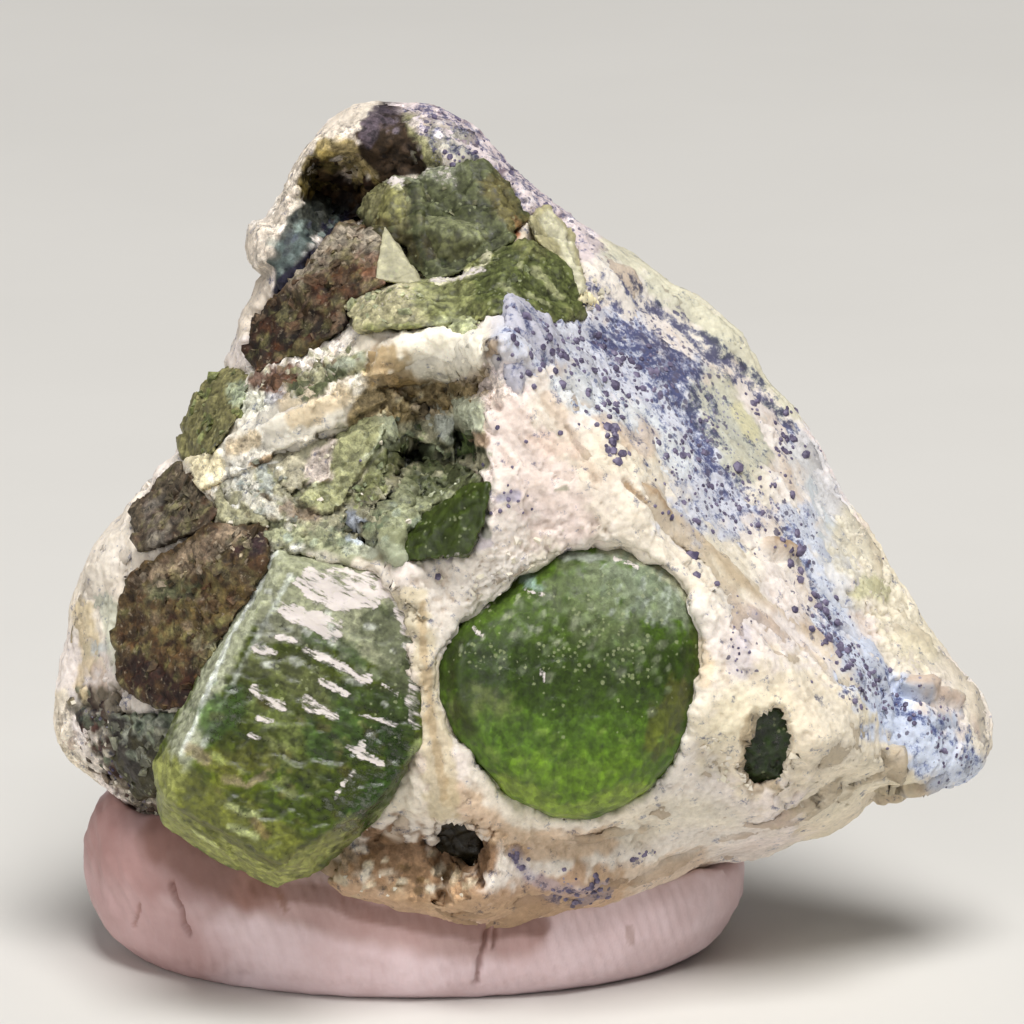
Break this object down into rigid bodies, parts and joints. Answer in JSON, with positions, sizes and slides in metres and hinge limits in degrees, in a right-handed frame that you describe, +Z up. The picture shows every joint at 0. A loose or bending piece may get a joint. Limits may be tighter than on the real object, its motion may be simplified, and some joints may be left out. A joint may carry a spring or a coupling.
{
  "type": "peridot crystal specimen in matrix",
  "caption": "Rough pyramid of pale magnesite matrix with gemmy green and brown weathered peridot crystals, standing on a pressed pad of putty.",
  "frame": {"origin": "middle of the putty pad's flat underside, on the surface that the specimen stands on", "axes": "+Z up, -Y towards the side that shows the crystals, +X to the right seen from there"},
  "size_m": [0.0394, 0.0232, 0.0351],
  "materials": {
    "magnesite": "matt, chalky, stained",
    "clear_peridot": "clear, part frosted",
    "frosted_peridot": "frosted",
    "pale_peridot": "frosted, pale",
    "weathered_peridot": "rough, rusty",
    "dark_peridot": "clear, dark",
    "putty": "matt, hand-pressed"
  },
  "bodies": {
    "root": {"matrix": "magnesite", "crystal_left": "clear_peridot", "crystal_right": "clear_peridot", "crystal_middle": "clear_peridot", "crystal_top": "frosted_peridot", "crystal_band": "frosted_peridot", "crystal_edge": "frosted_peridot", "crystal_corner": "frosted_peridot", "crystal_horn": "pale_peridot", "shard": "pale_peridot", "weathered_crystal_upper": "weathered_peridot", "weathered_crystal_lower": "weathered_peridot", "weathered_plate": "weathered_peridot", "window_crystal_right": "dark_peridot", "window_crystal_low": "dark_peridot", "putty_pad": "putty"}
  },
  "joints": []
}
